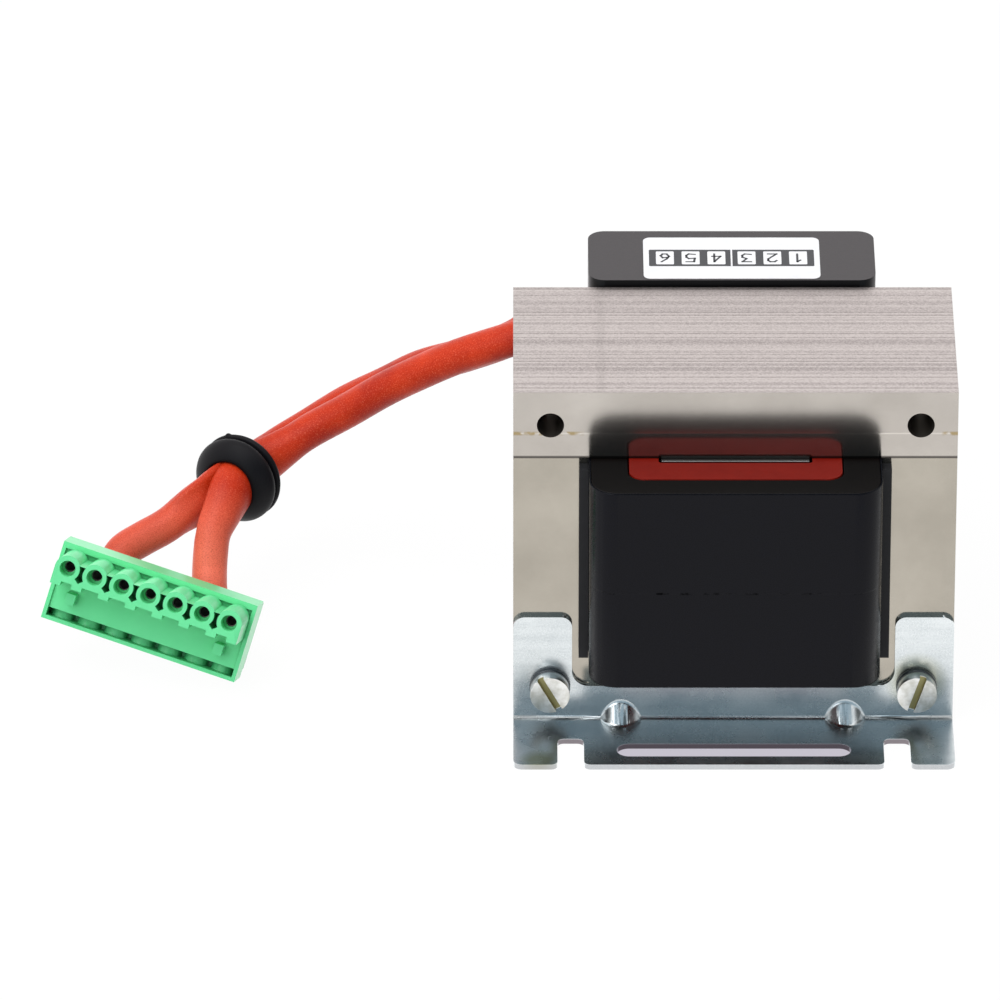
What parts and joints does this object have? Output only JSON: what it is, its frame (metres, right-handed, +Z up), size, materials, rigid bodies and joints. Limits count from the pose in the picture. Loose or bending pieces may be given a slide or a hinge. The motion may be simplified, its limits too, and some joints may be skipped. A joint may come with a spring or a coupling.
{
  "type": "mains transformer",
  "caption": "Laminated EI-core transformer on bent sheet feet, with a rear terminal cover and sleeved leads to a pluggable terminal connector.",
  "frame": {"origin": "middle of the four foot notches, on the mounting plane under the two feet", "axes": "+X along the core's width, away from the connector's side; +Y from the front of the coil towards the terminal cover; +Z up"},
  "size_m": [0.1623, 0.0825, 0.0673],
  "materials": {
    "lamination_steel": "cut edges of silicon steel sheet under thin varnish",
    "wedge_steel": "bare rolled strip",
    "red_bobbin_plastic": "moulded",
    "enamelled_copper": "enamelled wire",
    "black_bobbin_plastic": "moulded",
    "black_wrap": "satin film, wound",
    "black_liner": "folded sheet",
    "zinc_sheet": "bright zinc plated sheet",
    "plated_fasteners": "zinc plated",
    "tinned_brass": "tinned",
    "wire_insulation": "extruded",
    "black_cover_plastic": "moulded, fine grain",
    "label_film": "printed film",
    "red_sleeve": "braided and coated insulating sleeve",
    "black_rubber": "moulded",
    "green_connector_plastic": "moulded"
  },
  "bodies": {
    "root": {"core_e_stack": "lamination_steel", "core_i_stack": "lamination_steel", "core_wedge": "wedge_steel", "inner_bobbin": "red_bobbin_plastic", "primary_winding": "enamelled_copper", "outer_bobbin": "black_bobbin_plastic", "secondary_winding": "enamelled_copper", "coil_wrap": "black_wrap", "window_liner_left": "black_liner", "window_liner_right": "black_liner", "front_bracket": "zinc_sheet", "rear_bracket": "zinc_sheet", "clamp_screws": "plated_fasteners", "lock_washers": "plated_fasteners", "clamp_nuts": "plated_fasteners", "terminal_board": "black_cover_plastic", "solder_tags": "tinned_brass", "tag_wires": "wire_insulation", "terminal_cover": "black_cover_plastic", "rating_label": "label_film", "lead_sleeve_front": "red_sleeve", "lead_sleeve_rear": "red_sleeve", "lead_wires": "wire_insulation", "grommet": "black_rubber", "connector_housing": "green_connector_plastic", "connector_contacts": "tinned_brass", "connector_screws": "plated_fasteners"}
  },
  "joints": []
}
